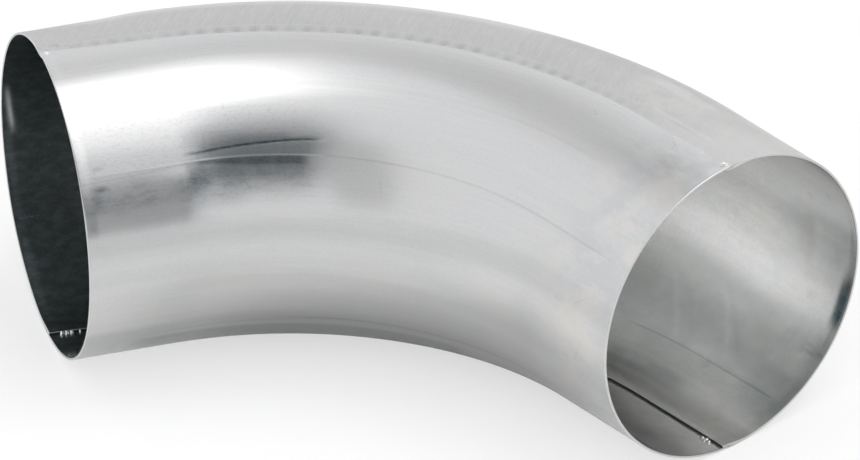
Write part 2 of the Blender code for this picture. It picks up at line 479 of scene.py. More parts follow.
# Painted shade beside the lower lap, the crease and the outlet rim, painted highlights in broad
# patches, and a dark patch close to the outlet rim
HEEL_INNER_PATCHES = (
    (-0.80, 0, (-28, -18, 9), (0.985, 0.994, 0.010)),
    (-0.30, 1, (-84, -79, 3), (0.75, 0.84, 0.04)),
    (-0.10, 0, (-84, -76, 4), (0.72, 0.84, 0.05)),
    (-0.26, 0, (-76, -58, 7), (0.99, TO_OUTLET, 0.10)),
    (-0.12, 0, (-73, -67, 4), (0.77, 0.98, 0.03)),
    (+0.20, 1, (-62, -38, 8), (0.80, TO_OUTLET, 0.08)),
    (+0.26, 0, (-50, -40, 8), (0.74, 0.965, 0.02)),
    (+0.45, 0, (-14, -4, 7), (0.93, 0.978, 0.02)),
    (+0.30, 0, (30, 44, 5), (0.84, 0.94, 0.04)),
    (-0.09, 0, (-4, 18, 5), (0.72, 0.97, 0.03)),
    (-0.08, 0, (-180, 180, 1), (0.99, TO_OUTLET, 0.015)),
    (+0.08, 0, (-24, 2, 7), (0.99, TO_OUTLET, 0.015)),
)

# Blots: lift, cloudy, share, degrees, half length and half width in mm
# Painted shade and highlight round the dark reflected patch by the creases, and darker blots by
# both mouths
THROAT_BLOTS = (
    (-0.17, 0.4, 0.222, 135.6, 13, 1.8),
    (+0.42, 0, 0.134, 145.6, 7, 2.0),
    (-0.26, 1, 0.940, 104.5, 11, 5),
    (-0.12, 1, 0.870, 109.0, 16, 3),
    (-0.10, 0, 0.320, 132.0, 26, 6),
    (-0.50, 0, 0.026, 147.0, 2.6, 0.9),
    (-0.22, 0, 0.020, 151.0, 2.2, 4),
    (-0.20, 1, 0.070, 151.5, 18, 5),
    (-0.24, 0, 0.026, 140.0, 2.0, 0.8),
)

# Painted light and shade of bars pressed across the inside of the heel half: share and degrees at
# both ends, and lift
INNER_BAR_SHADING = (
    (0.7512, -47.5, 0.7825, -61.5, 0.272),
    (0.7700, -48.0, 0.8000, -59.5, -0.144),
    (0.8170, -44.0, 0.8513, -56.5, 0.272),
    (0.8330, -46.0, 0.8660, -55.0, -0.112),
)
BAR_WIDTH = 0.0055


def painted_dark_reflection(distance, angle):
    """Painted dark reflection between and below the creases of the throat half, with ragged edges.
    """
    share = distance / LENGTH
    degrees = np.degrees(angle)
    ragged = soft_noise(distance, angle * RADIUS, 3.4 * MM, 3.4 * MM, 51)
    upper = 140.2 - 3.0 * np.clip((share - 0.165) / 0.2, 0, 1)
    strip = smooth(degrees, upper, upper + 0.5) * (1 - smooth(degrees, 142.0, 142.5))
    tone = -0.15 * strip * window(share, 0.17, 0.36, 0.02)
    widening = 143.2 + 1.9 * np.clip((share - 0.165) / 0.10, 0, 1)
    under = smooth(degrees, 142.7, 143.1) * (1 - smooth(degrees, widening, widening + 1.4))
    tone -= 0.40 * under * window(share, 0.175, 0.345, 0.02)
    uneven_share = share + 0.004 * ragged
    below = window(degrees, 144.5, 149, 4) * window(uneven_share, 0.15, 0.35, 0.02)
    tone -= (0.16 + 0.06 * ragged) * below
    leg = window(degrees + ragged, 147, 152, 5) * window(uneven_share, 0.156, 0.172, 0.022)
    return tone - 0.22 * leg


def throat_painted_light(distance, angle):
    """Painted shade and highlights by the creases, painted reflections, and dark blots by the
    mouths.
    """
    cloud = 0.5 + 0.5 * soft_noise(distance, angle * RADIUS, 9 * MM, 4 * MM, 52)
    marks = total_marks(distance, angle, THROAT_CREASE_SHADING, THROAT_PATCHES, THROAT_BLOTS, cloud)
    return marks + painted_dark_reflection(distance, angle)


def heel_inner_painted_light(distance, angle):
    """Painted shade and highlights on the inside of the heel half, by the mouths and beside the
    lower lap.
    """
    share = distance / LENGTH
    degrees = np.degrees(angle)
    cloud = 0.5 + 0.5 * soft_noise(distance, angle * RADIUS, 6 * MM, 4 * MM, 61)
    tone = total_marks(distance, angle, HEEL_INNER_STREAKS, HEEL_INNER_PATCHES, (), cloud)
    for first_share, first, last_share, last, lift in INNER_BAR_SHADING:
        middle = first_share + (last_share - first_share) * (degrees - first) / (last - first)
        tone += lift * bump(share, middle, BAR_WIDTH) * window(degrees, last, first, 6)
    # A painted highlight along the tongue's edge above the lower lap's crevice
    from_edge = arcs_from_seams(distance, angle)[1] + LAP
    tone += 0.14 * bump(from_edge, 1.0 * MM, 0.8 * MM) * window(share, 0.74, 0.97, 0.03)
    # A painted highlight inside the inlet mouth
    gleam = bump(share, 0.011 - 0.0004 * degrees, 0.004) * window(degrees, -4, 6, 7)
    return tone + 0.8 * gleam


# ---------------------------------------------------------------- the half shells

# How much thinner the heel half's upper tongue is than its sheet
TONGUE_THINNING = 0.55 * MM


def make_throat_half(materials):
    """The plain half, whose edges lie over the tongues of the other."""
    def shape(distance, share):
        start = seam_angle(TOP_SEAM_ANGLES, distance)
        end = 2 * math.pi - seam_angle(BOTTOM_SEAM_ANGLES, distance)
        angle = start + (end - start) * share
        outer = RADIUS + throat_relief(distance, angle)
        tone = throat_painted_light(distance, angle)
        inner_tone = total_marks(distance, angle, patches=THROAT_INNER_PATCHES)
        return angle, outer, outer - SHEET, tone, inner_tone

    creased = [math.radians(a) for a in (98.9, 116.5, 138.5, 143.5, 211.5, 217)]
    shares = columns_across(math.radians(90), math.radians(268), math.radians(1.0), creased,
                            math.radians(2.8), math.radians(0.2))
    piece = sheet_object("throat_half", rows_along(0.8 * MM), shares, shape, materials)
    stand_for(piece, "inner_half_shell")


def make_heel_half(materials):
    """The half with the joggled edges."""
    lap = LAP / RADIUS

    def shape(distance, share):
        start = -seam_angle(BOTTOM_SEAM_ANGLES, distance) - lap
        end = seam_angle(TOP_SEAM_ANGLES, distance) + lap
        angle = start + (end - start) * share
        upper, lower = arcs_from_seams(distance, angle)
        sheet = RADIUS + heel_relief(distance, angle)
        outer = sheet - joggle(upper) - joggle(lower)
        inner = sheet - SHEET - joggle(upper, INNER_JOGGLE_FOOT, INNER_JOGGLE_SHOULDER)
        inner -= joggle(lower, INNER_JOGGLE_FOOT, INNER_JOGGLE_SHOULDER)
        inner += TONGUE_THINNING * (1 - smooth(upper, -LAP, 0.5 * MM))
        tone = total_marks(distance, angle, HEEL_STREAKS, HEEL_PATCHES)
        return angle, outer, inner, tone, heel_inner_painted_light(distance, angle)

    lower_edge = math.radians(-95.4)
    upper_edge = math.radians(95.2)
    creased = [math.radians(a) for a in (-66.3, 63)]
    joggled = [lower_edge + math.radians(3), upper_edge - math.radians(3)]
    shares = columns_across(lower_edge, upper_edge, math.radians(1.2), creased + joggled,
                            math.radians(4.2), math.radians(0.3))
    piece = sheet_object("heel_half", rows_along(1.1 * MM), shares, shape, materials)
    stand_for(piece, "outer_half_shell")


# ---------------------------------------------------------------- welds

# The beads: fine ripples in broader patches, the arcs they lie between, and their grid
RIPPLE_PITCH = 1.02 * MM
PATCH_PITCH = 6.66 * MM
PATCH_START = 4.9 * MM
BEAD_START = -0.5 * MM
BEAD_END = 5.2 * MM
BEAD_TO_RIM = 0.04 * MM
BEAD_STEP = 0.17 * MM
BEAD_COLUMNS = 20

# The tacks: the points along each side of their grid, and how deep their roots are
TACK_POINTS = 56
TACK_ROOT = 0.6 * MM


def ground_marks(distance, arc):
    """How deep the marks across the bead are, from 0 to 1: fine ripples in scalloped patches."""
    share = distance / LENGTH
    wander = 0.7 * MM * soft_noise(distance, distance * 0, 17 * MM, 1, 31)
    patch = wave((distance + wander - PATCH_START) / PATCH_PITCH)
    uneven = 0.75 + 0.35 * soft_noise(distance, distance * 0, 8 * MM, 1, 32)
    phase = distance / RIPPLE_PITCH + 0.22 * soft_noise(distance, arc, 3 * MM, 4 * MM, 21)
    ripple = wave(phase) * (0.75 + 0.25 * soft_noise(distance, arc, 1.0 * MM, 1.6 * MM, 22))
    lower_edge = (0.9 - 1.1 * patch) * MM
    across = smooth(arc, lower_edge - 0.3 * MM, lower_edge + 0.5 * MM)
    across *= 1 - 0.55 * smooth(arc, 1.0 * MM, 4.6 * MM)
    across *= 1 - smooth(arc, 3.9 * MM, 5.0 * MM)
    lasting = 1 - 0.9 * smooth(share, 0.62, 0.93)
    starting = 0.85 + 0.15 * smooth(share, 0.10, 0.26)
    grouped = (0.25 + 0.75 * patch) * (0.35 + 0.65 * ripple) * uneven
    grouped = grouped * across * lasting * starting
    blobs = smooth(soft_noise(distance, arc, 1.6 * MM, 1.5 * MM, 23), 0.0, 0.8)
    near_inlet = 1 - smooth(share, 0.035, 0.075)
    return np.clip(grouped * (1 - near_inlet) + 0.5 * blobs * near_inlet, 0, 1)


def weld_object(name, node, grid, skin, root, flip, material):
    """A weld between two grids of radii. grid holds its distances, arcs and angles."""
    distance, arc, angle = grid
    outside = on_tube(distance, angle, skin)
    points, faces = closed_body(outside, on_tube(distance, angle, root), flip)
    uv = np.stack([distance, arc], -1).reshape(-1, 2)
    uv = np.concatenate([uv, uv + INSIDE_MAP])
    piece = mesh_object(name, points, faces, np.zeros(len(faces)), uv, [material])
    return stand_for(piece, node)


def make_seam_weld(name, node, angles, side, material):
    """A bead that fills the groove over one lap. side is 1 at the top and -1 at the bottom."""
    distances = np.linspace(BEAD_TO_RIM, LENGTH - BEAD_TO_RIM, int(LENGTH / BEAD_STEP))
    arcs = np.linspace(BEAD_START, BEAD_END, BEAD_COLUMNS)
    distance = np.repeat(distances[:, None], len(arcs), 1)
    arc = np.repeat(arcs[None, :], len(distances), 0)
    angle = side * (seam_angle(angles, distance) - arc / RADIUS)
    sheet = RADIUS + heel_relief(distance, angle)
    feather = window(arc, BEAD_START + 0.3 * MM, BEAD_END - 0.4 * MM, 0.3 * MM)
    marks = ground_marks(distance, arc)
    top = sheet - 0.03 * MM + 0.045 * MM * feather - 0.02 * MM * marks * feather
    root = sheet - 0.12 * MM - smooth(arc, 0.05 * MM, 0.35 * MM) * joggle(arc)
    piece = weld_object(name, node, (distance, arc, angle), top, root, side > 0, material)
    add_values(piece, "marks", np.tile(marks.ravel(), 2))


def make_tack(name, node, angles, side, outward, middle, lumps, material):
    """A nugget of weld metal on the wall, made of overlapping round lumps.

    middle is (distance, arc) and each lump is (distance, arc, radius, height) from there, in mm.
    """
    reach = max(abs(lump[i]) + lump[2] for lump in lumps for i in (0, 1)) * MM
    grid = np.linspace(-reach, reach, TACK_POINTS)
    du, dv = np.meshgrid(grid, grid, indexing="ij")
    height = np.full(du.shape, -0.35 * MM)
    for along, across, radius, tall in lumps:
        away = np.hypot(du - along * MM, dv - across * MM) / (radius * MM)
        lump = (tall * MM) * np.sqrt(np.clip(1 - away ** 2, 0, 1)) - 0.30 * MM * (away > 1)
        height = np.maximum(height, lump)
    height += 0.05 * MM * soft_noise(du, dv, 0.5 * MM, 0.5 * MM, 41) * (height > 0)
    distance = middle[0] + du
    arc = middle[1] + dv
    angle = side * (seam_angle(angles, distance) - arc / RADIUS)
    wall = RADIUS if outward > 0 else BORE
    base = np.full(du.shape, wall - outward * TACK_ROOT)
    weld_object(name, node, (distance, arc, angle), wall + outward * height, base,
                side * outward > 0, material)


# ---------------------------------------------------------------- materials

# The hazier of every metal's two reflections
HAZE_SHARE = 0.32
HAZE_ROUGHNESS = 0.30

# The way the grinding lines run, from the row's Y axis
GRIND_TURN = math.radians(-3)


class Graph:
    """Short hand for building a node tree."""

    def __init__(self, tree):
        self.tree = tree
        tree.nodes.clear()

    def node(self, kind, inputs=None, **settings):
        """A shader node, with its inputs linked or set by name or number."""
        made = self.tree.nodes.new("ShaderNode" + kind)
        for key, value in settings.items():
            setattr(made, key, value)
        for key, value in (inputs or {}).items():
            if isinstance(value, bpy.types.NodeSocket):
                self.tree.links.new(value, made.inputs[key])
            else:
                made.inputs[key].default_value = value
        return made

    def math(self, operation, first, second=0.0, clamp=False):
        made = self.node("Math", {0: first, 1: second}, operation=operation)
        made.use_clamp = clamp
        return made.outputs[0]

    def vector(self, operation, first, second=(0, 0, 0)):
        return self.node("VectorMath", {0: first, 1: second}, operation=operation).outputs

    def part(self, vector, axis):
        return self.node("SeparateXYZ", {"Vector": vector}).outputs[axis]

    def place(self, vector, scale=(1, 1, 1), turn=0.0, move=(0, 0, 0)):
        made = self.node("Mapping", {"Vector": vector, "Location": move,
                                     "Rotation": (0, 0, turn), "Scale": scale})
        return made.outputs["Vector"]

    def noise(self, vector, scale=1.0, detail=2.0, rough=0.5):
        made = self.node("TexNoise", {"Vector": vector, "Scale": scale,
                                      "Detail": detail, "Roughness": rough})
        return made.outputs["Fac"]

    def between(self, value, low, high, first=0.0, last=1.0):
        made = self.node("MapRange", {"Value": value, "From Min": low, "From Max": high,
                                      "To Min": first, "To Max": last})
        made.interpolation_type = "SMOOTHSTEP"
        return made.outputs["Result"]

    def blend(self, share, first, last):
        """A mix of two colours, which are sockets or (red, green, blue)."""
        made = self.node("Mix", {0: share}, data_type="RGBA")
        for index, colour in ((6, first), (7, last)):
            if isinstance(colour, bpy.types.NodeSocket):
                self.tree.links.new(colour, made.inputs[index])
            else:
                made.inputs[index].default_value = (*colour, 1)
        return made.outputs[2]

    def paint(self, colour, mask, strength, painted):
        """The colour, covered with another as far as mask times strength says."""
        return self.blend(self.times(mask, strength), colour, painted)

    def times(self, *values):
        """The product of several values."""
        product = values[0]
        for value in values[1:]:
            product = self.math("MULTIPLY", product, value)
        return product

    def steel(self, colour, rough, height, depth, metallic=1.0):
        """A clear reflection with a hazier one under it."""
        relief = self.node("Bump", {"Height": height, "Distance": depth, "Strength": 1.0})
        lobes = []
        for roughness in (rough, HAZE_ROUGHNESS):
            lobe = self.node("BsdfPrincipled", {
                "Base Color": colour, "Metallic": metallic, "Roughness": roughness,
                "Normal": relief.outputs["Normal"]})
            lobes.append(lobe.outputs[0])
        both = self.node("MixShader", {0: HAZE_SHARE, 1: lobes[0], 2: lobes[1]})
        self.node("OutputMaterial", {"Surface": both.outputs[0]})


def new_graph(name):
    material = bpy.data.materials.new(name)
    material.use_nodes = True
    return material, Graph(material.node_tree)


def tube_map(g):
    """Where a point is on the tube's map: (distance, arc) in metres."""
    return g.node("UVMap", uv_map="tube").outputs["UV"]


def tube_distance(g):
    return g.part(tube_map(g), "X")


def row_map(g):
    """Where a point is in the row frame, in metres."""
    return g.node("TexCoord").outputs["Object"]


def mesh_value(g, name):
    return g.node("Attribute", attribute_name=name).outputs["Fac"]


def toned(g, colour, low=0.84, high=1.10):
    """The colour, darkened and lightened by the mesh's tone in broken strokes: painted shade in a
    cool dark and painted highlights in white.
    """
    tone = mesh_value(g, "tone")
    strokes = g.noise(g.place(tube_map(g), (420, 1500, 1)), 1.0, 3.0, 0.6)
    blotches = g.noise(row_map(g), 200.0, 3.0, 0.6)
    broken = g.math("ADD", g.between(strokes, 0.34, 0.62, low, high),
                    g.between(blotches, 0.35, 0.6, -0.06, 0.06))
    darker = g.times(g.math("MULTIPLY", tone, -1.0, clamp=True), broken)
    lighter = g.math("MULTIPLY", tone, 1.0, clamp=True)
    darkened = g.blend(darker, colour, (0.01, 0.055, 0.075))
    return g.blend(lighter, darkened, (0.98, 0.98, 0.98))


SCRATCH_WANDER = 0.9 * MM


def scratch(g, tube, start, end, width):
    """1 along a thin broken line between two places on the tube, which are (distance, arc)."""
    run = Vector((end[0] - start[0], end[1] - start[1], 0))
    length = run.length
    along_way = run.normalized()
    across_way = Vector((-along_way.y, along_way.x, 0))
    place = g.vector("SUBTRACT", tube, (*start, 0))["Vector"]
    along = g.vector("DOT_PRODUCT", place, along_way)["Value"]
    across = g.vector("DOT_PRODUCT", place, across_way)["Value"]
    wander = g.times(g.math("SUBTRACT", g.noise(tube, 420.0, 2.0), 0.5), SCRATCH_WANDER)
    off_line = g.math("ABSOLUTE", g.math("ADD", across, wander))
    return g.times(g.between(off_line, 0.0, width, 1.0, 0.0),
                   g.between(along, 0.0, 0.1 * length),
                   g.between(along, 0.8 * length, length, 1.0, 0.0),
                   g.between(g.noise(tube, 1100.0, 1.0), 0.40, 0.60))


def on_sheet(share, degrees, shift):
    """The place on the tube map of a share of the length and an angle from the heel."""
    return (share * LENGTH, math.radians(degrees) * RADIUS + shift)


# Scratches: where they start and end, as shares of the length and degrees, and their half widths
OUTER_SCRATCHES = (
    (0.2190, 122.5, 0.2270, 132.2, 0.25),
    (0.4925, 149.0, 0.4990, 155.5, 0.22),
    (0.1629, 146.8, 0.1676, 149.8, 0.25),
    (0.9010, 92.6, 0.9270, 96.4, 0.22),
    (0.9120, 94.0, 0.9190, 97.0, 0.18),
    (0.7780, 99.5, 0.7900, 101.2, 0.35),
    (0.1000, 102.8, 0.1030, 103.4, 0.40),
    (0.1870, 102.8, 0.1890, 103.2, 0.40),
    (0.9300, 164.0, 0.9570, 158.5, 0.16),
    (0.9380, 186.0, 0.9600, 171.0, 0.16),
)
INNER_SCRATCHES = (
    (0.0033, -40.1, 0.0454, -40.3, 0.22),
    (0.0411, -52.5, 0.0770, -49.0, 0.18),
    (0.8300, -75.0, 0.8560, -72.0, 0.15),
)


def all_scratches(g, tube, table, shift=0.0):
    total = None
    for first_share, first_angle, last_share, last_angle, width in table:
        start = on_sheet(first_share, first_angle, shift)
        end = on_sheet(last_share, last_angle, shift)
        mask = scratch(g, tube, start, end, width * MM)
        total = mask if total is None else g.math("MAXIMUM", total, mask)
    return total


def bright_sheet():
    """The outside of the throat half: drawn sheet, bright and streaked along the bend."""
    material, g = new_graph("bright_sheet")
    tube = tube_map(g)
    row = row_map(g)
    along = tube_distance(g)
    degrees = g.times(g.part(tube, "Y"), math.degrees(1) / RADIUS)
    streaks = g.noise(g.place(tube, (14, 900, 1)), 1.0, 3.0, 0.6)
    bands = g.noise(g.place(tube, (5, 90, 1), 0.0, (3, 1, 0)), 1.0, 3.0)
    haze = g.noise(row, 34.0, 5.0, 0.6)
    patchy = g.noise(g.place(row, move=(5, 2, 1)), 52.0, 5.0, 0.65)
    grain = g.noise(row, 1100.0, 3.0, 0.7)
    specks = g.noise(g.place(tube, (420, 1300, 1)), 1.0, 3.0, 0.7)
    rubs = g.noise(g.place(tube, (45, 160, 1), 0.5, (2, 5, 0)), 1.0, 5.0, 0.65)
    crease_mottles = g.noise(g.place(tube, (120, 380, 1), 0.15, (1, 3, 0)), 1.0, 4.0, 0.7)
    colour = g.blend(g.between(bands, 0.3, 0.7), (0.625, 0.63, 0.635), (0.66, 0.662, 0.66))
    colour = g.paint(colour, g.between(streaks, 0.3, 0.7), 0.75, (0.60, 0.603, 0.608))
    colour = g.paint(colour, g.between(grain, 0.35, 0.65), 0.40, (0.71, 0.71, 0.705))
    colour = g.paint(colour, g.between(haze, 0.45, 0.7), 0.35, (0.66, 0.65, 0.635))
    by_outlet = g.between(along, 0.83 * LENGTH, 0.93 * LENGTH)
    rubbed = g.times(g.between(rubs, 0.50, 0.66), by_outlet)
    cool = g.times(g.between(patchy, 0.50, 0.60), by_outlet)
    warm = g.times(g.between(patchy, 0.50, 0.42), by_outlet)
    colour = g.paint(colour, rubbed, 0.35, (0.50, 0.505, 0.51))
    colour = g.paint(colour, cool, 0.65, (0.58, 0.59, 0.605))
    colour = g.paint(colour, warm, 0.7, (0.705, 0.685, 0.655))
    by_crease = g.times(g.between(along, 0.34 * LENGTH, 0.40 * LENGTH, 1.0, 0.0),
                        g.between(degrees, 120, 126), g.between(degrees, 152, 160, 1.0, 0.0))
    # Darker mottles just below the lower crease
    crease_mottled = g.times(g.between(crease_mottles, 0.46, 0.66), by_crease, g.between(degrees, 143, 148))
    pitted = g.times(g.between(specks, 0.50, 0.70), by_crease)
    scratched = all_scratches(g, tube, OUTER_SCRATCHES)
    colour = g.paint(colour, crease_mottled, 0.40, (0.36, 0.375, 0.39))
    colour = g.paint(colour, pitted, 0.32, (0.30, 0.31, 0.33))
    colour = g.paint(colour, scratched, 0.6, (0.20, 0.21, 0.23))
    rough = g.math("ADD", g.between(bands, 0.3, 0.7, 0.16, 0.21),
                   g.between(haze, 0.45, 0.75, 0.0, 0.04))
    g.steel(toned(g, colour), rough, streaks, 0.000008)
    return material


def ground_sheet():
    """The outside of the heel half: dull, with grinding lines that all run one way."""
    material, g = new_graph("ground_sheet")
    row = row_map(g)
    along = tube_distance(g)
    turned = g.place(row, turn=GRIND_TURN)
    lines = g.noise(g.place(turned, (620, 22, 40)), 1.0, 4.0, 0.7)
    fine = g.noise(g.place(turned, (1500, 160, 160)), 1.0, 3.0, 0.7)
    haze = g.noise(row, 30.0, 4.0)
    patchy = g.noise(g.place(row, move=(5, 2, 1)), 52.0, 5.0, 0.65)
    colour = g.blend(g.between(haze, 0.3, 0.7), (0.52, 0.516, 0.514), (0.55, 0.547, 0.545))
    colour = g.paint(colour, g.between(lines, 0.35, 0.65), 0.60, (0.60, 0.596, 0.592))
    colour = g.paint(colour, g.between(fine, 0.35, 0.65), 0.50, (0.47, 0.468, 0.468))
    by_outlet = g.between(along, 0.84 * LENGTH, 0.98 * LENGTH)
    warm = g.times(g.between(patchy, 0.60, 0.38), g.between(along, 0.72 * LENGTH, 0.8 * LENGTH))
    colour = g.paint(colour, by_outlet, 0.8, (0.63, 0.625, 0.618))
    colour = g.paint(colour, warm, 0.5, (0.66, 0.647, 0.627))
    rough = g.math("SUBTRACT", g.between(haze, 0.3, 0.7, 0.31, 0.35), g.times(by_outlet, 0.02))
    height = g.math("ADD", g.times(lines, 0.6), g.times(fine, 0.4))
    g.steel(toned(g, colour), rough, height, 0.00001)
    return material


def some_cells(g, scale, start, end, low, high):
    """Round spots in some cells of a Voronoi pattern, those whose own random value is high."""
    cells = g.node("TexVoronoi", {"Vector": row_map(g), "Scale": scale})
    chosen = g.between(g.part(cells.outputs["Color"], "X"), low, high)
    return g.times(g.between(cells.outputs["Distance"], start, end, 1.0, 0.0), chosen)


def inner_sheet():
    """The bare inside: mill finish with stains and drawing marks, with painted shade darkening it
    towards the inlet.
    """
    material, g = new_graph("inner_sheet")
    tube = tube_map(g)
    row = row_map(g)
    streaks = g.noise(g.place(tube, (30, 420, 1)), 1.0, 4.0, 0.65)
    clouds = g.noise(row, 46.0, 5.0, 0.6)
    grain = g.noise(row, 1200.0, 3.0, 0.7)
    mottle = g.noise(g.place(tube, (150, 260, 1), 0.6), 1.0, 4.0, 0.65)
    brushed = g.noise(g.place(tube, (900, 150, 1), -0.35), 1.0, 3.0, 0.7)
    stains = some_cells(g, 88.0, 0.10, 0.24, 0.70, 0.80)
    dots = some_cells(g, 61.0, 0.02, 0.045, 0.80, 0.85)
    scratched = all_scratches(g, tube, INNER_SCRATCHES, INSIDE_MAP[1])
    colour = g.blend(g.between(clouds, 0.3, 0.7), (0.792, 0.802, 0.806), (0.896, 0.872, 0.834))
    colour = g.paint(colour, g.between(streaks, 0.3, 0.7), 0.5, (0.75, 0.755, 0.75))
    colour = g.paint(colour, g.between(grain, 0.35, 0.65), 0.60, (0.73, 0.735, 0.72))
    colour = g.paint(colour, g.between(brushed, 0.42, 0.66), 0.10, (0.62, 0.63, 0.62))
    colour = g.paint(colour, g.between(mottle, 0.46, 0.66), 0.30, (0.655, 0.67, 0.67))
    colour = g.paint(colour, stains, 0.28, (0.50, 0.51, 0.50))
    colour = g.paint(colour, dots, 0.6, (0.30, 0.30, 0.29))
    # Painted shade: towards the inlet the inside takes a darker colour with light specks
    dark = g.blend(g.between(mottle, 0.35, 0.72), (0.27, 0.30, 0.30), (0.40, 0.46, 0.49))
    dark = g.paint(dark, g.between(grain, 0.56, 0.70), 0.35, (0.80, 0.82, 0.82))
    colour = g.blend(g.between(tube_distance(g), 0.03, 0.08, 1.0, 0.0), colour, dark)
    colour = g.paint(colour, scratched, 0.8, (0.90, 0.90, 0.90))
    rough = g.math("ADD", g.between(clouds, 0.3, 0.7, 0.19, 0.22), g.times(streaks, 0.04))
    # Where the tone is lighter, the painted highlights also take away some metal, so they show as
    # diffuse light
    painted_light_share = g.math("MULTIPLY", mesh_value(g, "tone"), 0.5, clamp=True)
    painted_light_diffuse = g.times(painted_light_share, g.between(clouds, 0.2, 0.6))
    metallic = g.math("SUBTRACT", 0.985, g.math("MAXIMUM", painted_light_diffuse, g.times(scratched, 0.06)))
    g.steel(toned(g, colour, 0.96, 1.03), rough, streaks, 0.000012, metallic)
    return material


def cut_edge():
    """The sheared edge of the sheet."""
    material, g = new_graph("cut_edge")
    marks = g.noise(row_map(g), 1500.0, 3.0)
    colour = g.blend(marks, (0.63, 0.63, 0.63), (0.74, 0.74, 0.735))
    g.steel(colour, g.between(marks, 0.3, 0.7, 0.30, 0.42), marks, 0.00002)
    return material


def crevice_shade():
    """The long edges inside the laps, painted dark as the shade in the crevices there."""
    material, g = new_graph("crevice_shade")
    crevice_shade_noise = g.noise(row_map(g), 600.0, 3.0)
    colour = g.blend(crevice_shade_noise, (0.08, 0.085, 0.08), (0.16, 0.165, 0.15))
    g.steel(colour, 0.6, crevice_shade_noise, 0.00003)
    return material


def bead_metal():
    """The ground bead, darker in its marks: partly their own colour, partly painted shade in their
    grooves.
    """
    material, g = new_graph("ground_bead")
    turned = g.place(row_map(g), turn=GRIND_TURN)
    lines = g.noise(g.place(turned, (900, 60, 60)), 1.0, 3.0, 0.7)
    marks = mesh_value(g, "marks")
    by_outlet = g.between(tube_distance(g), 0.80 * LENGTH, 0.95 * LENGTH)
    colour = g.blend(g.between(lines, 0.3, 0.7), (0.545, 0.545, 0.545), (0.585, 0.583, 0.58))
    colour = g.paint(colour, by_outlet, 0.8, (0.63, 0.625, 0.618))
    colour = g.blend(marks, colour, (0.36, 0.365, 0.37))
    g.steel(colour, g.math("ADD", g.times(marks, 0.08), 0.29), lines, 0.00001)
    return material


def nugget_metal():
    """Bare weld metal of the tacks, with darker heat stains."""
    material, g = new_graph("tack_nugget")
    blotches = g.noise(row_map(g), 700.0, 3.0)
    colour = g.blend(g.between(blotches, 0.4, 0.65), (0.86, 0.86, 0.86), (0.60, 0.59, 0.58))
    g.steel(colour, g.between(blotches, 0.3, 0.7, 0.16, 0.25), blotches, 0.00002)
    return material


# ---------------------------------------------------------------- studio

FLOOR_SIZE = 24.0
FLOOR_GAP = 0.1 * MM


def floor_material():
    """Pale board that glows evenly where the camera sees it. In what the metal mirrors it is
    greyer, with a painted ring of light round the object.
    """
    material, g = new_graph("studio_board")
    row = row_map(g)
    fibre = g.noise(row, 60.0, 4.0)
    away = g.vector("LENGTH", g.place(row, (1, 1, 0)))["Value"]
    mirrored = g.blend(fibre, (0.70, 0.70, 0.695), (0.72, 0.72, 0.715))
    seen = g.blend(fibre, (0.47, 0.47, 0.47), (0.49, 0.49, 0.49))
    to_camera = g.node("LightPath").outputs["Is Camera Ray"]
    colour = g.blend(to_camera, mirrored, seen)
    board = g.node("BsdfDiffuse", {"Color": colour, "Roughness": 1.0})
    # Painted light, only in reflections: dim near the object where its shade falls, brightest some
    # 13 to 16 cm off, fading further out
    glow = g.times(g.between(away, 0.05, 0.13, 0.04, 0.30), g.between(away, 0.16, 0.40, 1.0, 0.2),
                   g.math("SUBTRACT", 1.0, to_camera))
    glow = g.math("ADD", glow, g.times(to_camera, 0.56))
    light = g.node("Emission", {"Color": (1, 1, 0.995, 1), "Strength": glow})
    both = g.node("AddShader", {0: board.outputs[0], 1: light.outputs[0]})
    g.node("OutputMaterial", {"Surface": both.outputs[0]})
    return material


def make_rectangle(name, width, height, z, material):
    """A flat piece of the studio, mapped from corner to corner."""
    mesh = bpy.data.meshes.new(name)
    corners = [(x * width, y * height, z)
               for x, y in ((-0.5, -0.5), (0.5, -0.5), (0.5, 0.5), (-0.5, 0.5))]
    mesh.from_pydata(corners, [], [(0, 1, 2, 3)])
    layer = mesh.uv_layers.new(name="card")
    layer.data.foreach_set("uv", [0, 0, 1, 0, 1, 1, 0, 1])
    mesh.materials.append(material)
    piece = add_object(name, mesh)
    return piece


def make_floor():
    z = CAD_BOX[0].z - FLOOR_GAP
    make_rectangle("studio_floor", FLOOR_SIZE, FLOOR_SIZE, z, floor_material())


def make_world():
    world = bpy.data.worlds.new("studio_tent")
    world.use_nodes = True
    g = Graph(world.node_tree)
    background = g.node("Background", {"Color": (0.985, 0.99, 1.0, 1), "Strength": 1.0})
    g.node("OutputWorld", {"Surface": background.outputs[0]})
    bpy.context.scene.world = world


def card_material(name, brightness, fades):
    """A card that glows or swallows light, and fades out towards its four sides.

    fades are the widths of the fades as shares of the card: left, right, bottom and top.
    """
    material, g = new_graph(name)
    place = g.node("UVMap", uv_map="card").outputs["UV"]
    across = g.part(place, "X")
    upward = g.part(place, "Y")
    left, right, bottom, top = fades
    share = g.times(g.between(across, 0.0, left), g.between(across, 1.0 - right, 1.0, 1.0, 0.0),
                    g.between(upward, 0.0, bottom), g.between(upward, 1.0 - top, 1.0, 1.0, 0.0))
    tint = (1, 1, 1, 1) if brightness > 0.5 else (0.93, 1.0, 1.03, 1)
    glow = g.node("Emission", {"Color": tint, "Strength": brightness})
    clear = g.node("BsdfTransparent")
    mixed = g.node("MixShader", {0: share, 1: clear.outputs[0], 2: glow.outputs[0]})
    g.node("OutputMaterial", {"Surface": mixed.outputs[0]})
    return material


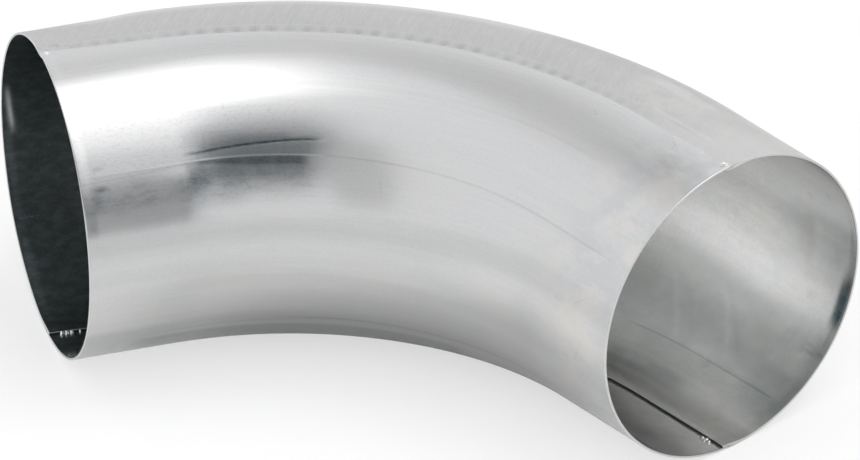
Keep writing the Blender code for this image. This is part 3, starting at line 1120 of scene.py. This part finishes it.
def make_card(name, offset, right, up, width, height, brightness, fades):
    """A card at an offset from the object, in metres, that only shows in what the metal mirrors."""
    card = make_rectangle(name, width, height, 0, card_material(name, brightness, fades))
    turn = Matrix((right, up, right.cross(up))).transposed().to_4x4()
    card.matrix_world = Matrix.Translation(middle_of_object() + offset) @ turn
    card.visible_camera = False
    card.visible_diffuse = brightness > 1
    card.visible_shadow = brightness > 1


SCREEN_AWAY = 5.0


def make_screen(name, azimuths, elevations, brightness, fades):
    """A card that covers a patch of the surroundings, in degrees. Azimuth 0 is +Y and 90 is +X."""
    azimuth = math.radians(sum(azimuths) / 2)
    elevation = math.radians(sum(elevations) / 2)
    level = math.cos(elevation)
    direction = Vector((math.sin(azimuth) * level, math.cos(azimuth) * level, math.sin(elevation)))
    right = Vector((math.cos(azimuth), -math.sin(azimuth), 0))
    half_width = math.radians(azimuths[1] - azimuths[0]) / 2 * level
    half_height = math.radians(elevations[1] - elevations[0]) / 2
    width = 2 * SCREEN_AWAY * math.tan(half_width)
    height = 2 * SCREEN_AWAY * math.tan(half_height)
    make_card(name, direction * SCREEN_AWAY, right, right.cross(direction), width, height,
              brightness, fades)


def middle_of_object():
    return (CAD_BOX[0] + CAD_BOX[1]) / 2


def make_camera():
    data = bpy.data.cameras.new("camera")
    data.type = "ORTHO"
    data.ortho_scale = VIEW_WIDTH
    data.clip_end = 100.0
    camera = add_object("camera", data)
    ahead = Vector((-math.sin(CAMERA_AZIMUTH) * math.cos(CAMERA_ELEVATION),
                    math.cos(CAMERA_AZIMUTH) * math.cos(CAMERA_ELEVATION),
                    -math.sin(CAMERA_ELEVATION)))
    level = Vector((math.cos(CAMERA_AZIMUTH), math.sin(CAMERA_AZIMUTH), 0))
    upright = level.cross(ahead)
    right = level * math.cos(CAMERA_ROLL) + upright * math.sin(CAMERA_ROLL)
    up = upright * math.cos(CAMERA_ROLL) - level * math.sin(CAMERA_ROLL)
    place = middle_of_object() + AIM_FROM_MIDDLE - ahead * CAMERA_DISTANCE
    turn = Matrix((right, up, -ahead)).transposed().to_4x4()
    camera.matrix_world = Matrix.Translation(place) @ turn
    bpy.context.scene.camera = camera


def make_studio():
    bpy.context.scene.view_settings.view_transform = "Standard"
    make_world()
    make_floor()
    make_card("overhead_softbox", Vector((1.7, 1.15, 5.0)), Vector((1, 0, 0)), Vector((0, -1, 0)),
              5.6, 4.0, 2.6, (0.27, 0.20, 0.46, 0.22))
    make_screen("inlet_glow", (100, 133), (42, 76), 1.50, (0.30, 0.30, 0.40, 0.20))
    make_screen("camera_shade", (134, 188), (6, 75), 0.20, (0.24, 0.28, 0.45, 0.40))
    make_screen("inlet_shade", (124, 141), (-12, 44), 0.16, (0.35, 0.35, 0.30, 0.40))
    make_screen("outlet_shade", (178, 206), (0, 60), 0.66, (0.20, 0.25, 0.30, 0.30))
    make_screen("rear_shade", (-85, 0), (38, 70), 0.72, (0.35, 0.35, 0.40, 0.30))


def make_elbow():
    inside = inner_sheet()
    edge = cut_edge()
    crevice = crevice_shade()
    make_throat_half([bright_sheet(), inside, edge, crevice])
    make_heel_half([ground_sheet(), inside, edge, crevice])
    bead = bead_metal()
    nugget = nugget_metal()
    make_seam_weld("top_bead", "top_seam_weld", TOP_SEAM_ANGLES, 1, bead)
    make_seam_weld("bottom_bead", "bottom_seam_weld", BOTTOM_SEAM_ANGLES, -1, bead)
    make_tack("top_inlet_tack", "tack_weld_top_inlet", TOP_SEAM_ANGLES, 1, 1,
              (2.0 * MM, -1.8 * MM), ((0, 0, 1.1, 0.22), (0.5, 0.7, 0.7, 0.15)), nugget)
    make_tack("top_outlet_tack", "tack_weld_top_outlet", TOP_SEAM_ANGLES, 1, 1,
              (LENGTH - 2.4 * MM, -2.0 * MM), ((0, 0, 1.25, 1.0), (0, 0.3, 1.6, 0.18)), nugget)
    make_tack("bottom_inlet_tack", "tack_weld_bottom_inlet", BOTTOM_SEAM_ANGLES, -1, -1,
              (6.6 * MM, -3.4 * MM),
              ((-1.7, 0, 0.9, 1.3), (0.1, 0.1, 0.9, 1.2), (1.9, 0, 0.8, 1.1), (5.2, 0.1, 0.5, 0.9)),
              nugget)
    make_tack("bottom_outlet_tack", "tack_weld_bottom_outlet", BOTTOM_SEAM_ANGLES, -1, -1,
              (LENGTH - 8.3 * MM, -4.6 * MM),
              ((-1.9, 0.1, 1.1, 1.2), (-0.1, 0.7, 1.0, 1.0), (0, -0.6, 0.9, 0.9),
               (1.9, 0.1, 1.0, 1.1)), nugget)


make_elbow()
make_studio()
make_camera()
